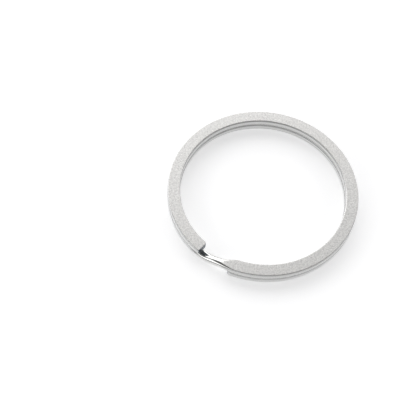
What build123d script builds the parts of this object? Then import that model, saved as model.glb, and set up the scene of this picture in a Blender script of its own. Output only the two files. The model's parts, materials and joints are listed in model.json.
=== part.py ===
"""Split key ring: one flat spring wire wound nearly two turns, with a round neck between the layers.

The ring lies flat: +Z up, origin at its centre on the plane that it rests on. Seen from above, the
wire starts at the lower free end, goes anticlockwise once round in the lower layer, climbs through
the neck, and goes once round again in the upper layer to the upper free end. Angles are in degrees,
anticlockwise from +X seen from above, and lengths along the wire are measured on its middle circle.

The wire flexes along its whole length, so each turn is divided into short stretches. Each stretch
twists a little on the one before it, about the wire's own line.
"""

import os
from math import cos, degrees, pi, radians, sin

from build123d import *

# Driving dimensions, in millimetres
outer_diameter = 30.0
band_width = 2.0
layer_thickness = 1.1
layer_gap = 0.04  # hairline between the two layers when the ring is closed
edge_radius = 0.2  # the rolled wire's rounded edges
end_corner_radius = 0.5  # the free ends' corners, seen from above
neck_diameter = 1.4  # the stretch of wire between the layers is left round
neck_inset = 0.04  # how far the neck stays inside the outer edge
end_gap = 4.8  # between the two free ends, along the wire
rise_length = 4.45  # over which the wire climbs from one layer to the other
neck_length = 3.25  # of even width, from the start of the climb
flare_length = 2.5  # over which the neck widens into the band
flare_margin = 0.25  # of plain band left on the neck's stretch at each end
division_gap = 0.02  # between neighbouring stretches of wire

# Layout
mouth_angle = 240.83  # where the middle of the gap between the free ends is
stretches_per_turn = 9
neck_sections = 33
neck_roundness = 0.48  # corner radius as a share of the neck's height: a half is a full circle

# Worked out from the above
outer_radius = outer_diameter / 2
middle_radius = outer_radius - band_width / 2
neck_radius = outer_radius - neck_inset - neck_diameter / 2
pitch = layer_thickness + layer_gap
lower_level = layer_thickness / 2
upper_level = lower_level + pitch


def arc_angle(length):
    """The angle in degrees that a length along the wire's middle circle takes up."""
    return degrees(length / middle_radius)


upper_end_angle = mouth_angle - arc_angle(end_gap) / 2 + 360
lower_end_angle = mouth_angle + arc_angle(end_gap) / 2 - 360
rise_start = mouth_angle - arc_angle(rise_length) / 2
rise_end = mouth_angle + arc_angle(rise_length) / 2
lower_flare_start = rise_start - arc_angle(flare_length)
upper_flare_start = rise_start + arc_angle(neck_length)
upper_flare_end = upper_flare_start + arc_angle(flare_length)
neck_start = lower_flare_start - arc_angle(flare_margin)
neck_end = upper_flare_end + arc_angle(flare_margin)
half_division = arc_angle(division_gap) / 2


def eased(value, start, end):
    """0 before start, 1 after end, and a smooth step between them."""
    share = min(max((value - start) / (end - start), 0.0), 1.0)
    return share * share * (3 - 2 * share)


def polar(radius, angle, level):
    """The point at a radius and an angle about the ring's axis."""
    return Vector(radius * cos(radians(angle)), radius * sin(radians(angle)), level)


def wire_section(angle, radius, level, width, height, corner):
    """The wire's rounded rectangular section, on the upright plane through the ring's axis."""
    outwards = polar(1, angle, 0)
    backwards = polar(1, angle - 90, 0)
    plane = Plane(origin=polar(radius, angle, level), x_dir=outwards, z_dir=backwards)
    return plane * RectangleRounded(width, height, corner)


def neck_section(angle):
    """The neck's section at an angle: band at both ends, round wire between, climbing a layer."""
    narrow = eased(angle, lower_flare_start, rise_start) - eased(angle, upper_flare_start, upper_flare_end)
    climb = min(max((angle - rise_start) / (rise_end - rise_start), 0.0), 1.0)
    level = lower_level + pitch * eased(angle, rise_start, rise_end)
    width = band_width + (neck_diameter - band_width) * narrow
    height = layer_thickness + (neck_diameter - layer_thickness) * sin(pi * climb) ** 2
    radius = middle_radius + (neck_radius - middle_radius) * narrow
    corner = edge_radius + (neck_roundness * height - edge_radius) * narrow
    return wire_section(angle, radius, level, width, height, corner)


def crossover():
    """The stretch between the layers: flare, round neck that climbs, and flare again."""
    first = neck_start + half_division
    last = neck_end - half_division
    step = (last - first) / (neck_sections - 1)
    return loft([neck_section(first + step * index) for index in range(neck_sections)])


def turn_stretch(start, end, level):
    """A plain stretch of flat band between two angles of one layer."""
    first = start + half_division
    section = wire_section(first, middle_radius, level, band_width, layer_thickness, edge_radius)
    return revolve(section, Axis.Z, end - start - 2 * half_division)


def end_stretch(division, free, level):
    """The stretch from the last division to a free end, with the end's corners rounded."""
    inner_radius = middle_radius - band_width / 2
    division += half_division if free > division else -half_division
    middle = (division + free) / 2
    outline = [
        ThreePointArc(*[polar(outer_radius, angle, 0) for angle in (division, middle, free)]),
        Line(polar(outer_radius, free, 0), polar(inner_radius, free, 0)),
        ThreePointArc(*[polar(inner_radius, angle, 0) for angle in (free, middle, division)]),
        Line(polar(inner_radius, division, 0), polar(outer_radius, division, 0)),
    ]
    plan = make_face(outline)
    free_middle = polar(middle_radius, free, 0)
    free_corners = plan.vertices().sort_by_distance(free_middle)[:2]
    plan = fillet(free_corners, end_corner_radius)
    stretch = Pos(0, 0, level - layer_thickness / 2) * extrude(plan, layer_thickness)
    division_face = stretch.faces().sort_by_distance(polar(middle_radius, division, level))[0]
    kept_sharp = division_face.edges()
    flat_edges = stretch.faces().filter_by(Axis.Z).edges()
    rounded = [edge for edge in flat_edges if edge not in kept_sharp]
    return fillet(rounded, edge_radius)


def divisions(start, end):
    """The angles that divide a turn, from the neck to its free end, into equal stretches."""
    step = (end - start) / stretches_per_turn
    return [start + step * index for index in range(stretches_per_turn + 1)]


def turn_nodes(name, start, free, level):
    """One turn's stretches by node name, numbered from the neck, with its free end last."""
    angles = divisions(start, free)
    nodes = {}
    for index in range(stretches_per_turn - 1):
        low, high = sorted(angles[index : index + 2])
        nodes[f"{name}_turn_{index + 1}"] = turn_stretch(low, high, level)
    nodes[f"{name}_end"] = end_stretch(angles[-2], free, level)
    return nodes


nodes = {"crossover": crossover()}
nodes.update(turn_nodes("upper", neck_end, upper_end_angle, upper_level))
nodes.update(turn_nodes("lower", neck_start, lower_end_angle, lower_level))

os.makedirs("parts", exist_ok=True)
for node, shape in nodes.items():
    export_step(shape, f"parts/{node}.step")
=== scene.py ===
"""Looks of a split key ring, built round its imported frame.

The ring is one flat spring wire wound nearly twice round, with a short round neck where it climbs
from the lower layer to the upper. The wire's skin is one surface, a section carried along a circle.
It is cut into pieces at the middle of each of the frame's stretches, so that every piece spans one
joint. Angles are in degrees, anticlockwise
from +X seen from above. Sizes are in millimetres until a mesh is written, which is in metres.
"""

import json
import logging
import math
from dataclasses import dataclass, field
from enum import Enum

import bpy
import numpy as np
from mathutils import Matrix, Vector

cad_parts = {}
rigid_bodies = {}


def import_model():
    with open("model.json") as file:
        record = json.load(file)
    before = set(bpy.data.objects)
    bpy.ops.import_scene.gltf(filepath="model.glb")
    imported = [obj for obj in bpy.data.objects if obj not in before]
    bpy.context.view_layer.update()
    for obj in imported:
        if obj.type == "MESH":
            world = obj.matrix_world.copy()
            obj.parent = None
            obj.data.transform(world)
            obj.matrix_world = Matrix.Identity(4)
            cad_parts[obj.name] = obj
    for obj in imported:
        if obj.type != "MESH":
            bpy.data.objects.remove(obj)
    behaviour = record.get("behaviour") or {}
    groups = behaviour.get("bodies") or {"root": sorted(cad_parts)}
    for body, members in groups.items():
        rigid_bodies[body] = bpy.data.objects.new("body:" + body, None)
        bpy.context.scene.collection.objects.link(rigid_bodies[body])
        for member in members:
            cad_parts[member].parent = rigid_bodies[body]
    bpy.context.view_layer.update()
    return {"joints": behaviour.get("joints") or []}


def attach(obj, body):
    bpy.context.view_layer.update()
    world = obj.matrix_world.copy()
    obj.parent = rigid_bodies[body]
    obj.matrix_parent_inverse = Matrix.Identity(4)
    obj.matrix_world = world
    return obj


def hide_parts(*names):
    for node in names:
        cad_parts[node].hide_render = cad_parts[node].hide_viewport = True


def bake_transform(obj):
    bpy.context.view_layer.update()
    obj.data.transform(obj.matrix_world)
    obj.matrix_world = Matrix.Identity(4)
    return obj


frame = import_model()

log = logging.getLogger("split_ring")

MM = 0.001  # metres in a millimetre
SHEARED_FACING = 0.6  # cosine of the tilt at which a free end's rounding becomes its cut face
SATIN = "satin"  # attribute: 1 on the pressed flats, 0 on the edges, walls and neck
DRAWN = "drawn"  # attribute: 1 on the round neck, 0 on the rolled band
EDGE = "edge"  # attribute: 1 along the middle of the dark line of painted shade beside each edge and along the neck
WIRE_MAP = "wire_mm"  # UV map: millimetres along the wire and round its section


class Side(Enum):
    """The two turns of the wire, by the layer each lies in, with its direction round the ring."""

    UPPER = 1
    LOWER = -1

    @property
    def label(self) -> str:
        """The turn's name in the frame's nodes and joints."""
        return self.name.lower()


def eased(value: np.ndarray, start: float, end: float) -> np.ndarray:
    """A smooth step: 3s^2 - 2s^3, where s is how far value is from start to end, held in 0 to 1.

    Args:
        value: where to read the step.
        start: the value at which it leaves 0.
        end: the value at which it reaches 1.

    Returns:
        The step's height at each value.
    """
    share = np.clip((value - start) / (end - start), 0.0, 1.0)
    return share * share * (3 - 2 * share)


def linear(code: str) -> tuple[float, float, float, float]:
    """Turns an sRGB hex colour into linear light.

    Args:
        code: six hex digits, such as "d8d8d6".

    Returns:
        Red, green, blue and an alpha of 1.
    """
    srgb = [int(code[at : at + 2], 16) / 255 for at in (0, 2, 4)]
    light = [c / 12.92 if c <= 0.04045 else ((c + 0.055) / 1.055) ** 2.4 for c in srgb]
    return (*light, 1.0)


@dataclass(frozen=True)
class Section:
    """Points round a rounded rectangle, as a template that any width, height and corner fits.

    A point sits at (across * inner half width + corner * lean, up * inner half height + corner *
    rise), where (across, up) is its place on the inner rectangle, from -1 to 1, and (lean, rise)
    is the direction that the surface faces there.
    """

    corner_points: int = 16
    flat_points: int = 12
    wall_points: int = 8

    def template(self) -> np.ndarray:
        """The template's rows (across, up, lean, rise), anticlockwise from the outer wall.

        Returns:
            An array of 4 numbers for each point.
        """
        rows = []
        signs = [(1, 1), (-1, 1), (-1, -1), (1, -1)]
        sides = [self.flat_points, self.wall_points] * 2
        for quarter, (sign, following, count) in enumerate(zip(signs, signs[1:] + signs[:1], sides)):
            turn = np.radians(90 * quarter + np.linspace(0, 90, self.corner_points))
            corner = np.tile(sign, (self.corner_points, 1))
            rows.append(np.column_stack([corner, np.cos(turn), np.sin(turn)]))
            share = np.linspace(0, 1, count + 2)[1:-1, None]
            edge = (1 - share) * np.array(sign) + share * np.array(following)
            facing = np.tile([np.cos(turn[-1]), np.sin(turn[-1])], (count, 1))
            rows.append(np.column_stack([edge, facing]))
        return np.concatenate(rows)


@dataclass(frozen=True)
class Wire:
    """The wound wire's sizes, in millimetres, and its shape at any angle along it."""

    outer_radius: float = 15.0
    band_width: float = 2.0
    layer_thickness: float = 1.1
    layer_gap: float = 0.04
    edge_radius: float = 0.14  # the rolled band's edges, which tumbling leaves crisper than the CAD's
    wall_crown: float = 0.02  # how far the side walls swell at mid height
    neck_diameter: float = 1.4
    neck_inset: float = 0.04
    neck_roundness: float = 0.48
    end_gap: float = 4.8
    rise_length: float = 4.45
    neck_length: float = 3.25
    flare_length: float = 2.5
    mouth_angle: float = 240.83
    end_inner_corner: float = 0.5  # the free ends' corners, seen from above
    end_outer_corner: float = 0.3
    end_edge: float = 0.1  # rounding of the sheared end's upper and lower edges
    fullest_corner: float = 0.98  # of half the height, which a corner never passes
    band_line: tuple[float, float] = (92.0, 36.0)  # each edge's dark line of painted shade: its tilt and spread, degrees
    # the neck's dark line of painted shade, for the dark horizon it reflects: its tilt and spread
    neck_line: tuple[float, float] = (57.0, 5.0)
    inner_line: float = 0.85  # how dark the painted shade lines are under the inner and the outer upper edges
    outer_line: float = 0.55
    under_line: float = 0.4  # and the share of that painted shade over the lower edges
    satin_from: tuple[float, float] = (0.955, 0.9995)  # cosines of tilt: satin starts, satin is full
    pressed_until: tuple[float, float] = (0.9, 0.995)  # narrowings: satin starts to go, satin is gone
    drawn_from: tuple[float, float] = (0.25, 0.9)  # narrowings: gloss starts, gloss is full
    section: Section = field(default_factory=Section)

    @property
    def middle_radius(self) -> float:
        """Radius of the band's middle line."""
        return self.outer_radius - self.band_width / 2

    @property
    def neck_radius(self) -> float:
        """Radius of the neck's middle line, which lies further out than the band's."""
        return self.outer_radius - self.neck_inset - self.neck_diameter / 2

    @property
    def pitch(self) -> float:
        """Height from one layer to the next."""
        return self.layer_thickness + self.layer_gap

    def turn_of(self, length: float) -> float:
        """The angle in degrees that a length along the middle line takes up."""
        return math.degrees(length / self.middle_radius)

    @property
    def rise_start(self) -> float:
        """The angle at which the neck starts to climb."""
        return self.mouth_angle - self.turn_of(self.rise_length) / 2

    @property
    def rise_end(self) -> float:
        """The angle at which the neck reaches the upper layer."""
        return self.mouth_angle + self.turn_of(self.rise_length) / 2

    def free_end(self, side: Side) -> float:
        """The angle of a turn's free end, counted on from the neck in the turn's direction."""
        return self.mouth_angle + side.value * (360 - self.turn_of(self.end_gap) / 2)

    def narrowing(self, angle: np.ndarray) -> np.ndarray:
        """How far the wire is from band, 0, to round neck, 1: the product of two smooth steps."""
        lower = self.rise_start - self.turn_of(self.flare_length)
        upper = self.rise_start + self.turn_of(self.neck_length)
        leaving = eased(angle, lower, self.rise_start)
        joining = eased(angle, upper, upper + self.turn_of(self.flare_length))
        return leaving * (1 - joining)

    def skin(self, angle: np.ndarray, side: Side | None) -> np.ndarray:
        """The wire's surface: its section carried along its path, in millimetres.

        The height swells by sin^2 over the climb, from the layer's thickness to the neck's diameter.
        A side wall swells by crown * (1 - u^2)^2, where u goes from -1 to 1 up the wall.

        Args:
            angle: the angles of the sections, in order along the wire.
            side: the turn whose free end the last angles come to, or None for no free end.

        Returns:
            An array of section by point by coordinate.
        """
        across, up, lean, rise = self.section.template().T
        narrow = self.narrowing(angle)
        climb = np.clip((angle - self.rise_start) / (self.rise_end - self.rise_start), 0, 1)
        level = self.layer_thickness / 2 + self.pitch * eased(angle, self.rise_start, self.rise_end)
        width = self.band_width + (self.neck_diameter - self.band_width) * narrow
        growth = self.neck_diameter - self.layer_thickness
        height = self.layer_thickness + growth * np.sin(np.pi * climb) ** 2
        radius = self.middle_radius + (self.neck_radius - self.middle_radius) * narrow
        corner = self.edge_radius + (self.neck_roundness * height - self.edge_radius) * narrow
        half_width = np.repeat((width / 2)[:, None], len(across), axis=1)
        half_height = (height / 2)[:, None]
        crown = self.wall_crown * (1 - narrow)
        if side is not None:
            distance = np.radians(np.abs(self.free_end(side) - angle)) * self.middle_radius
            inner = drawn_in(distance, self.end_inner_corner)[:, None]
            outer = drawn_in(distance, self.end_outer_corner)[:, None]
            half_width = half_width - np.where(across > 0, outer, inner)
            half_height = half_height - drawn_in(distance, self.end_edge)[:, None]
        corner = np.minimum(corner[:, None], self.fullest_corner * half_height)
        flank = half_width - crown[:, None] - corner
        swell = crown[:, None] * (1 - up**2) ** 2
        out = across * flank + (corner + swell) * lean
        height_here = up * (half_height - corner) + corner * rise
        reach = radius[:, None] + out
        turn = np.radians(angle)[:, None]
        return np.stack([reach * np.cos(turn), reach * np.sin(turn), level[:, None] + height_here], axis=-1)

    def finish(self, angle: np.ndarray) -> dict[str, np.ndarray]:
        """How the skin is finished: satin where pressed flat, drawn on the neck, with painted shade at its
        edges.

        The edge line of painted shade, which stands in for the shaded floor and dark horizon that the
        edges reflect, is a bell curve, exp(-((tilt - middle) / spread)^2), of the surface's tilt from
        level, which is counted on down the upright walls as if they went on turning.

        Args:
            angle: the angles of the sections.

        Returns:
            For each attribute, its values from 0 to 1, as an array of section by point.
        """
        up, lean, rise = self.section.template()[:, 1:].T
        flatness = eased(np.abs(rise), *self.satin_from)
        narrow = self.narrowing(angle)
        pressed = 1 - eased(narrow, *self.pressed_until)
        drawn = np.repeat(eased(narrow, *self.drawn_from)[:, None], len(rise), axis=1)
        half_wall = self.layer_thickness / 2 / self.edge_radius - 1
        tilt = np.degrees(np.arccos(np.clip(np.abs(rise), 0, 1)) + half_wall * (1 - np.abs(up)))
        line, spread = (
            (band + (neck - band) * narrow)[:, None] for band, neck in zip(self.band_line, self.neck_line)
        )
        # painted shade: darker under the inner edges than the outer, weaker under the lower ones, full on
        # the neck
        depth = np.where(lean > 0, self.outer_line, self.inner_line)
        depth = depth * np.where(up < 0, self.under_line, 1.0)
        depth = depth + (1 - depth) * narrow[:, None]
        edge = depth * np.exp(-(((tilt - line) / spread) ** 2))
        return {SATIN: pressed[:, None] * flatness[None, :], DRAWN: drawn, EDGE: edge}


def drawn_in(distance: np.ndarray, radius: float) -> np.ndarray:
    """How far a rounded corner of this radius draws a side in, at a distance from the end.

    It is r - sqrt(r^2 - (r - d)^2) within the radius of the end, and 0 beyond it.

    Args:
        distance: distances from the end.
        radius: the corner's radius.

    Returns:
        The draw at each distance.
    """
    short = np.clip(radius - distance, 0, radius)
    return radius - np.sqrt(radius**2 - short**2)


@dataclass
class Mesh:
    """A tube-like mesh in the making: a grid of sections, closed by a cap at each end."""

    name: str
    grid: np.ndarray  # section by point by coordinate, in millimetres
    finish: dict[str, np.ndarray]  # each attribute's values, section by point
    along: np.ndarray  # each section's place along the wire, in millimetres
    sheared_rows: int = 0  # rings of faces, the last cap among them, that can show the sheared finish

    def build(self, materials: list[bpy.types.Material]) -> bpy.types.Object:
        """Writes the mesh, with its finish attributes and its map in millimetres.

        Args:
            materials: the skin's material, then the sheared end's.

        Returns:
            The new object, at the origin.
        """
        sections, points = self.grid.shape[:2]
        vertex = np.arange(sections * points).reshape(sections, points)
        after = np.roll(vertex, -1, axis=1)
        quads = np.stack([vertex[:-1], after[:-1], after[1:], vertex[1:]], axis=-1).reshape(-1, 4)
        centres = self.grid[[0, -1]].mean(axis=1)
        first, last = sections * points, sections * points + 1
        start_cap = np.column_stack([after[0], vertex[0], np.full(points, first)])
        end_cap = np.column_stack([vertex[-1], after[-1], np.full(points, last)])
        places = np.concatenate([self.grid.reshape(-1, 3), centres]) * MM
        if self.turns_inwards():
            quads, start_cap, end_cap = quads[:, ::-1], start_cap[:, ::-1], end_cap[:, ::-1]
        faces = start_cap.tolist() + quads.tolist() + end_cap.tolist()
        mesh = bpy.data.meshes.new(self.name)
        mesh.from_pydata(places.tolist(), [], faces)
        self.write_attributes(mesh, faces)
        for material in materials:
            mesh.materials.append(material)
        made = bpy.data.objects.new(self.name, mesh)
        bpy.context.scene.collection.objects.link(made)
        return made

    def turns_inwards(self) -> bool:
        """Whether the quads face into the wire, which depends on the way the grid goes round."""
        a, b, c = self.grid[0, 0], self.grid[0, 1], self.grid[1, 0]
        facing = np.cross(b - a, c - a)
        return bool(np.dot(facing, a - self.grid[0].mean(axis=0)) < 0)

    def write_attributes(self, mesh: bpy.types.Mesh, faces: list) -> None:
        """Gives the mesh its finish attributes, its map, smooth faces and sharp cap edges.

        Args:
            mesh: the new mesh.
            faces: its faces' vertex numbers.
        """
        sections, points = self.grid.shape[:2]
        for name, values in self.finish.items():
            attribute = mesh.attributes.new(name, "FLOAT", "POINT")
            attribute.data.foreach_set("value", np.append(values.reshape(-1), [0.0, 0.0]).astype(np.float32))
        steps = np.linalg.norm(np.diff(self.grid, axis=1, append=self.grid[:, :1]), axis=-1).mean(axis=0)
        around = np.concatenate([[0], np.cumsum(steps)[:-1]])
        flat = np.stack(np.meshgrid(self.along, around, indexing="ij"), axis=-1).reshape(-1, 2)
        flat = np.concatenate([flat, [[self.along[0], 0.0], [self.along[-1], 0.0]]])
        corners = np.concatenate([np.asarray(face) for face in faces])
        wire_map = mesh.uv_layers.new(name=WIRE_MAP)
        wire_map.data.foreach_set("uv", flat[corners].astype(np.float32).ravel())
        mesh.polygons.foreach_set("use_smooth", np.ones(len(faces), dtype=bool))
        self.sharpen_caps(mesh, sections, points)
        mesh.update()
        if self.sheared_rows:
            self.shear(mesh)

    def shear(self, mesh: bpy.types.Mesh) -> None:
        """Gives the sheared end's material, partly painted shade, to the faces near the free end that look
        out of its cap.
        """
        facing = np.zeros(len(mesh.polygons) * 3, dtype=np.float32)
        mesh.polygons.foreach_get("normal", facing)
        facing = facing.reshape(-1, 3)
        sheared = facing @ facing[-1] > SHEARED_FACING
        sheared[: -self.sheared_rows * self.grid.shape[1]] = False
        mesh.polygons.foreach_set("material_index", sheared.astype(np.int32))

    def sharpen_caps(self, mesh: bpy.types.Mesh, sections: int, points: int) -> None:
        """Marks the edges round both end sections as sharp, so the skin's shading ends cleanly."""
        ends = np.zeros(len(mesh.vertices), dtype=int)
        ends[:points] = 1
        ends[(sections - 1) * points : sections * points] = 2
        edges = np.zeros(len(mesh.edges) * 2, dtype=np.int32)
        mesh.edges.foreach_get("vertices", edges)
        pair = ends[edges.reshape(-1, 2)]
        sharp = mesh.attributes.new("sharp_edge", "BOOLEAN", "EDGE")
        sharp.data.foreach_set("value", (pair[:, 0] == pair[:, 1]) & (pair[:, 0] > 0))


class Nodes:
    """A material's or a world's node tree, with one way to add a node."""

    def __init__(self, owner: bpy.types.ID) -> None:
        """Starts an empty tree on a material or a world."""
        owner.use_nodes = True
        self.tree = owner.node_tree
        self.tree.nodes.clear()

    def add(self, kind: str, links: dict | None = None, **settings: object) -> bpy.types.Node:
        """Adds a node with its settings, its sockets' values and its incoming links.

        Args:
            kind: the node's type without its ShaderNode prefix.
            links: socket name or number to a value, or to the output socket that feeds it.
            settings: the node's own properties.

        Returns:
            The new node.
        """
        node = self.tree.nodes.new(f"ShaderNode{kind}")
        for name, value in settings.items():
            setattr(node, name, value)
        for name, value in (links or {}).items():
            if isinstance(value, bpy.types.NodeSocket):
                self.tree.links.new(value, node.inputs[name])
            else:
                node.inputs[name].default_value = value
        return node


@dataclass(frozen=True)
class TumbledSteel:
    """Nickel-plated spring steel wire: satin flats, grey rolled sides and a bright drawn neck.

    Pressing and tumbling leave the flats an even matte satin with a fine mottle. The sides never
    touch the press and keep dull rolling lines along them. A dark line of painted shade runs beside
    each edge and along the neck, for the shaded floor and dark horizon that they reflect. The neck
    keeps the drawn wire's gloss.
    """

    name: str = "nickel_plated_spring_steel"
    flat_colour: str = "faf9f7"
    flat_mottle: str = "b3b2b1"
    side_colour: str = "dadad9"
    # painted shade: the colour of the dark line beside each edge and along the neck
    edge_colour: str = "4a4b4c"
    neck_colour: str = "dededc"
    flat_roughness: float = 0.5
    side_roughness: float = 0.24
    neck_roughness: float = 0.1
    mottle_mm: float = 0.22  # the true grain is finer; this is about the finest that shows
    mottle_levels: tuple[float, float] = (0.25, 0.75)  # of the noise, between the two flat colours
    line_mm: float = 0.07
    line_stretch: float = 0.4  # noise cells for each millimetre along the rolling lines
    relief_mm: float = 0.02
    relief: float = 0.3  # how much of the relief shows on the flats and the sides
    neck_relief: float = 0.05

    def material(self) -> bpy.types.Material:
        """Builds the material.

        Returns:
            The new material.
        """
        made = bpy.data.materials.new(self.name)
        nodes = Nodes(made)
        satin = nodes.add("Attribute", attribute_name=SATIN).outputs["Fac"]
        drawn = nodes.add("Attribute", attribute_name=DRAWN).outputs["Fac"]
        edge = nodes.add("Attribute", attribute_name=EDGE).outputs["Fac"]
        place = nodes.add("TexCoord").outputs["Object"]
        grain = nodes.add(
            "TexNoise",
            {"Vector": place, "Scale": 1 / (self.mottle_mm * MM), "Detail": 4.0, "Roughness": 0.75},
        )
        wire = nodes.add("UVMap", uv_map=WIRE_MAP).outputs["UV"]
        stretched = nodes.add(
            "Mapping", {"Vector": wire, "Scale": (self.line_stretch, 1 / self.line_mm, 1.0)}
        )
        lines = nodes.add("TexNoise", {"Vector": stretched.outputs[0], "Scale": 1.0, "Detail": 2.0})
        low, high = self.mottle_levels
        mottle = nodes.add("MapRange", {"Value": grain.outputs["Fac"], "From Min": low, "From Max": high})
        flat = nodes.add(
            "MixRGB", {0: mottle.outputs[0], 1: linear(self.flat_colour), 2: linear(self.flat_mottle)}
        )
        other = nodes.add("MixRGB", {0: drawn, 1: linear(self.side_colour), 2: linear(self.neck_colour)})
        plain = nodes.add("MixRGB", {0: satin, 1: other.outputs[0], 2: flat.outputs[0]})
        # painted shade: the edge attribute mixes the dark line's colour into the skin
        colour = nodes.add("MixRGB", {0: edge, 1: plain.outputs[0], 2: linear(self.edge_colour)})
        dull = nodes.add(
            "MapRange", {"Value": drawn, "To Min": self.side_roughness, "To Max": self.neck_roughness}
        )
        rough = nodes.add("Mix", {"Factor": satin, "A": dull.outputs[0], "B": self.flat_roughness})
        height = nodes.add("MixRGB", {0: satin, 1: lines.outputs["Fac"], 2: grain.outputs["Fac"]})
        drawn_depth = nodes.add(
            "MapRange", {"Value": drawn, "To Min": self.relief, "To Max": self.neck_relief}
        )
        depth = nodes.add("Mix", {"Factor": satin, "A": drawn_depth.outputs[0], "B": self.relief})
        bump = nodes.add(
            "Bump",
            {"Height": height.outputs[0], "Strength": depth.outputs[0], "Distance": self.relief_mm * MM},
        )
        shader = nodes.add(
            "BsdfPrincipled",
            {
                "Base Color": colour.outputs[0],
                "Metallic": 1.0,
                "Roughness": rough.outputs[0],
                "Normal": bump.outputs[0],
            },
        )
        nodes.add("OutputMaterial", {"Surface": shader.outputs[0]})
        return made


@dataclass(frozen=True)
class ShearedSteel:
    """The wire's cut ends: cropped spring steel, rougher than the plated skin and darker, partly from
    painted shade.

    The shear leaves a burnished strip and a torn strip across the face, which read as two greys.
    Both greys are darkened and tinted blue-grey, partly as painted shade for the shadow on the end faces.
    """

    name: str = "sheared_spring_steel"
    # painted shade in both greys: partly the cut steel's own colour, partly darkened for the end faces'
    # shadow
    burnished: str = "8a9096"
    torn: str = "575d63"
    roughness: float = 0.38
    streak_mm: float = 0.12
    streak_levels: tuple[float, float] = (0.35, 0.65)  # of the noise, from torn to burnished
    streak_squash: float = 0.35  # of the streaks' frequency up the face, so that they stand upright
    relief_mm: float = 0.02
    relief: float = 0.3

    def material(self) -> bpy.types.Material:
        """Builds the material.

        Returns:
            The new material.
        """
        made = bpy.data.materials.new(self.name)
        nodes = Nodes(made)
        place = nodes.add("TexCoord").outputs["Object"]
        upright = nodes.add("Mapping", {"Vector": place, "Scale": (1.0, 1.0, self.streak_squash)})
        streaks = nodes.add(
            "TexNoise", {"Vector": upright.outputs[0], "Scale": 1 / (self.streak_mm * MM), "Detail": 3.0}
        )
        low, high = self.streak_levels
        mix = nodes.add("MapRange", {"Value": streaks.outputs["Fac"], "From Min": low, "From Max": high})
        colour = nodes.add("MixRGB", {0: mix.outputs[0], 1: linear(self.torn), 2: linear(self.burnished)})
        bump = nodes.add(
            "Bump",
            {"Height": streaks.outputs["Fac"], "Strength": self.relief, "Distance": self.relief_mm * MM},
        )
        shader = nodes.add(
            "BsdfPrincipled",
            {
                "Base Color": colour.outputs[0],
                "Metallic": 1.0,
                "Roughness": self.roughness,
                "Normal": bump.outputs[0],
            },
        )
        nodes.add("OutputMaterial", {"Surface": shader.outputs[0]})
        return made


@dataclass
class WireWork:
    """What every piece of the wire shares: its shape, its finishes and how finely it is drawn."""

    wire: Wire
    finishes: list[bpy.types.Material]
    step: float = 0.6  # degrees between sections
    end_sections: int = 14  # over a free end's rounded corners
    end_reach: float = 1.1  # of the corners' radius, over which those sections lie

    def piece(self, name: str, angles: np.ndarray, side: Side | None = None) -> bpy.types.Object:
        """Makes one piece of the wire's skin.

        Args:
            name: the piece's name.
            angles: the angles of its sections, in order along the wire.
            side: the turn whose free end the piece comes to, or None.

        Returns:
            The new object.
        """
        grid = self.wire.skin(angles, side)
        along = np.radians(angles) * self.wire.middle_radius
        sheared_rows = 0 if side is None else self.end_sections
        return Mesh(name, grid, self.wire.finish(angles), along, sheared_rows).build(self.finishes)

    def angles(self, start: float, end: float) -> np.ndarray:
        """Evenly spaced angles from start to end, about a step apart."""
        count = max(2, round(abs(end - start) / self.step) + 1)
        return np.linspace(start, end, count)


@dataclass
class Turn:
    """One turn of flat band, from the neck to its free end, in pieces that each span a joint."""

    side: Side
    work: WireWork
    blend_share: float = 0.88  # of half a stretch
    neck_overlap: float = 0.5  # degrees of plain band between the neck's piece and the first joint

    def joints(self) -> list[dict]:
        """The turn's joints, from the neck outwards."""
        found = [j for j in frame["joints"] if j["child"].startswith(self.side.label)]
        by_child = {j["child"]: j for j in found}
        names = [f"{self.side.label}_turn_{number}" for number in range(1, len(found))]
        return [by_child[name] for name in [*names, f"{self.side.label}_end"]]

    def divisions(self) -> list[float]:
        """The joints' angles, counted on from the neck in the turn's direction."""
        angles = [math.degrees(math.atan2(j["pos_m"][1], j["pos_m"][0])) % 360 for j in self.joints()]
        counted = [angles[0]]
        for angle in angles[1:]:
            step = (self.side.value * (angle - counted[-1])) % 360
            counted.append(counted[-1] + self.side.value * step)
        return counted

    def neck_side(self) -> float:
        """The angle at which the neck's piece meets this turn's first piece."""
        return self.divisions()[0] - self.side.value * self.neck_overlap

    def build(self) -> list[bpy.types.Object]:
        """Builds the turn's pieces and hides the frame's parts that each stands for.

        Returns:
            The pieces, from the neck outwards.
        """
        joints = self.joints()
        cuts = self.divisions()
        free = self.work.wire.free_end(self.side)
        limits = [self.neck_side()]
        limits += [(here + there) / 2 for here, there in zip(cuts, cuts[1:])]
        limits.append(free)
        made = []
        for number, (joint, cut) in enumerate(zip(joints, cuts)):
            start, end = limits[number], limits[number + 1]
            last = number == len(cuts) - 1
            angles = self.towards_free_end(start, end) if last else self.work.angles(start, end)
            name = f"{self.side.label}_band_{number + 1}"
            piece = self.work.piece(name, angles, self.side if last else None)
            self.join(piece, joint)
            made.append(piece)
        return made

    def towards_free_end(self, start: float, end: float) -> np.ndarray:
        """Sections up to a free end, closing up over its rounded corners."""
        work = self.work
        reach = work.end_reach * work.wire.turn_of(work.wire.end_inner_corner)
        plain = work.angles(start, end - self.side.value * reach)
        lean = np.linspace(0, np.pi / 2, work.end_sections)[1:]
        closing = end - self.side.value * reach * (1 - np.sin(lean))
        return np.concatenate([plain, closing])

    def join(self, piece: bpy.types.Object, joint: dict) -> None:
        """Bakes a piece's place into its mesh and hides the frame's parts that it stands for.

        Args:
            piece: the piece.
            joint: the frame's joint.
        """
        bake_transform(piece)
        stands_for = [n for n in (joint["parent"], joint["child"]) if n != "crossover"]
        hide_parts(*stands_for)


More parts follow.
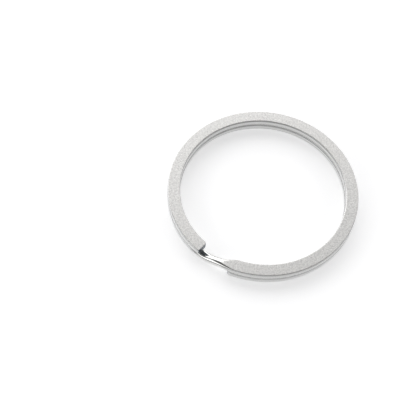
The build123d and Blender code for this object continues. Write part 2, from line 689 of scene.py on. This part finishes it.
@dataclass
class Neck:
    """The round neck between the layers, with the flares by which it widens into the band."""

    work: WireWork
    step: float = 0.3

    def build(self, start: float, end: float) -> bpy.types.Object:
        """Builds the neck and fixes it to its body.

        Args:
            start: the angle at which it meets the lower turn.
            end: the angle at which it meets the upper turn.

        Returns:
            The neck.
        """
        count = round((end - start) / self.step) + 1
        piece = self.work.piece("neck", np.linspace(start, end, count))
        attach(piece, "crossover")
        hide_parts("crossover")
        return piece


@dataclass
class Studio:
    """A pale floor, soft light from a white tent, and the camera. Lengths are in millimetres.

    The tent's directions are read as unit vectors: +X right, +Y behind the ring, +Z up.
    """

    floor_half: float = 4000.0
    floor_colour: str = "f4f4f5"
    table_glow: float = 0.42  # the paper lies on a lit table, which shines through it
    panel_strength: float = 1.6
    panel_heights: tuple[float, float, float] = (8.0, 27.0, 34.0)  # degrees: from, full up to, gone at
    bright_side: tuple[float, float, float] = (-0.25, 0.25, 0.0)  # where the panels are brightest
    horizon_share: float = 0.02  # of the light that is left below the panels
    ceiling_strength: float = 0.15
    back_strength: float = 2.07
    back_panel: tuple[float, float] = (0.28, 0.56)  # of Y: the back panel starts, is full
    right_fade: tuple[float, float] = (-0.1, 0.4)  # of X: the back panel starts to dim, is dimmest
    right_share: float = 0.3  # of its strength that is left there
    camera_elevation: float = 59.67
    camera_roll: float = 4.2
    camera_distance: float = 143.8
    aim: tuple[float, float, float] = (-9.755, -2.758, 2.24)
    sensor: float = 36.0
    lens: float = 83.5

    def build(self) -> None:
        """Makes the floor, the lights and the camera."""
        self.build_floor()
        self.build_tent()
        self.build_camera()

    def build_floor(self) -> None:
        """A flat square of matte paper under the ring."""
        half = self.floor_half * MM
        mesh = bpy.data.meshes.new("floor")
        corners = [(-half, -half, 0), (half, -half, 0), (half, half, 0), (-half, half, 0)]
        mesh.from_pydata(corners, [], [(0, 1, 2, 3)])
        floor = bpy.data.objects.new("floor", mesh)
        bpy.context.scene.collection.objects.link(floor)
        paper = bpy.data.materials.new("matte_paper")
        nodes = Nodes(paper)
        shader = nodes.add(
            "BsdfPrincipled",
            {
                "Base Color": linear(self.floor_colour),
                "Roughness": 0.9,
                "Specular IOR Level": 0.0,
                "Emission Color": linear("ffffff"),
                "Emission Strength": self.table_glow,
            },
        )
        nodes.add("OutputMaterial", {"Surface": shader.outputs[0]})
        mesh.materials.append(paper)

    def build_tent(self) -> None:
        """The light, as the world: soft panels all round at a low height, brightest to the left and
        behind, over a dark horizon. Above them the ceiling is dim but for a panel at the back."""
        world = bpy.data.worlds.new("tent")
        bpy.context.scene.world = world
        nodes = Nodes(world)
        direction = nodes.add("TexCoord").outputs["Generated"]
        part = nodes.add("SeparateXYZ", {0: direction}).outputs
        low, high, top = (math.sin(math.radians(height)) for height in self.panel_heights)
        band = nodes.add("MapRange", {"Value": part["Z"], "From Min": top, "From Max": high})
        horizon = nodes.add(
            "MapRange",
            {"Value": part["Z"], "From Min": low / 2, "From Max": low, "To Min": self.horizon_share},
        )
        starts, full = self.back_panel
        back = nodes.add(
            "MapRange",
            {"Value": part["Y"], "From Min": starts, "From Max": full},
            interpolation_type="SMOOTHSTEP",
        )
        starts, dimmest = self.right_fade
        left = nodes.add(
            "MapRange",
            {
                "Value": part["X"],
                "From Min": starts,
                "From Max": dimmest,
                "To Min": 1.0,
                "To Max": self.right_share,
            },
            interpolation_type="SMOOTHSTEP",
        )
        over = nodes.add("Math", {0: back.outputs[0], 1: left.outputs[0]}, operation="MULTIPLY")
        ceiling = nodes.add(
            "MapRange",
            {"Value": over.outputs[0], "To Min": self.ceiling_strength, "To Max": self.back_strength},
        )
        towards = nodes.add("VectorMath", {0: direction, 1: self.bright_side}, operation="DOT_PRODUCT")
        panel = nodes.add(
            "Math",
            {0: towards.outputs["Value"], 1: self.panel_strength, 2: self.panel_strength},
            operation="MULTIPLY_ADD",
        )
        strength = nodes.add(
            "Mix", {"Factor": band.outputs[0], "A": ceiling.outputs[0], "B": panel.outputs[0]}
        )
        above = nodes.add("Math", {0: strength.outputs[0], 1: horizon.outputs[0]}, operation="MULTIPLY")
        shine = nodes.add("Background", {"Color": linear("ffffff"), "Strength": above.outputs[0]})
        nodes.add("OutputWorld", {"Surface": shine.outputs[0]})

    def back(self) -> Vector:
        """The direction from what the camera looks at to the camera."""
        lift = math.radians(self.camera_elevation)
        return Vector((0, -math.cos(lift), math.sin(lift)))

    def build_camera(self) -> None:
        """The camera: above and in front of the ring, a little rolled."""
        data = bpy.data.cameras.new("camera")
        data.sensor_width = self.sensor
        data.lens = self.lens
        data.clip_start = 1 * MM
        camera = bpy.data.objects.new("camera", data)
        bpy.context.scene.collection.objects.link(camera)
        back = self.back()
        roll = Matrix.Rotation(math.radians(self.camera_roll), 4, "Z")
        place = Matrix.Translation((Vector(self.aim) + back * self.camera_distance) * MM)
        camera.matrix_world = place @ back.to_track_quat("Z", "Y").to_matrix().to_4x4() @ roll
        bpy.context.scene.camera = camera


def main() -> None:
    """Builds the ring and its studio, reporting each piece."""
    logging.basicConfig(level=logging.INFO, format="%(name)s: %(message)s")
    Studio().build()
    finishes = [TumbledSteel().material(), ShearedSteel().material()]
    work = WireWork(Wire(), finishes)
    turns = {side: Turn(side, work) for side in Side}
    pieces = [Neck(work).build(turns[Side.LOWER].neck_side(), turns[Side.UPPER].neck_side())]
    for turn in turns.values():
        pieces += turn.build()
    for piece in pieces:
        log.info("%s: %d faces", piece.name, len(piece.data.polygons))
    bpy.context.scene.view_settings.view_transform = "Standard"


if __name__ == "__main__":
    main()
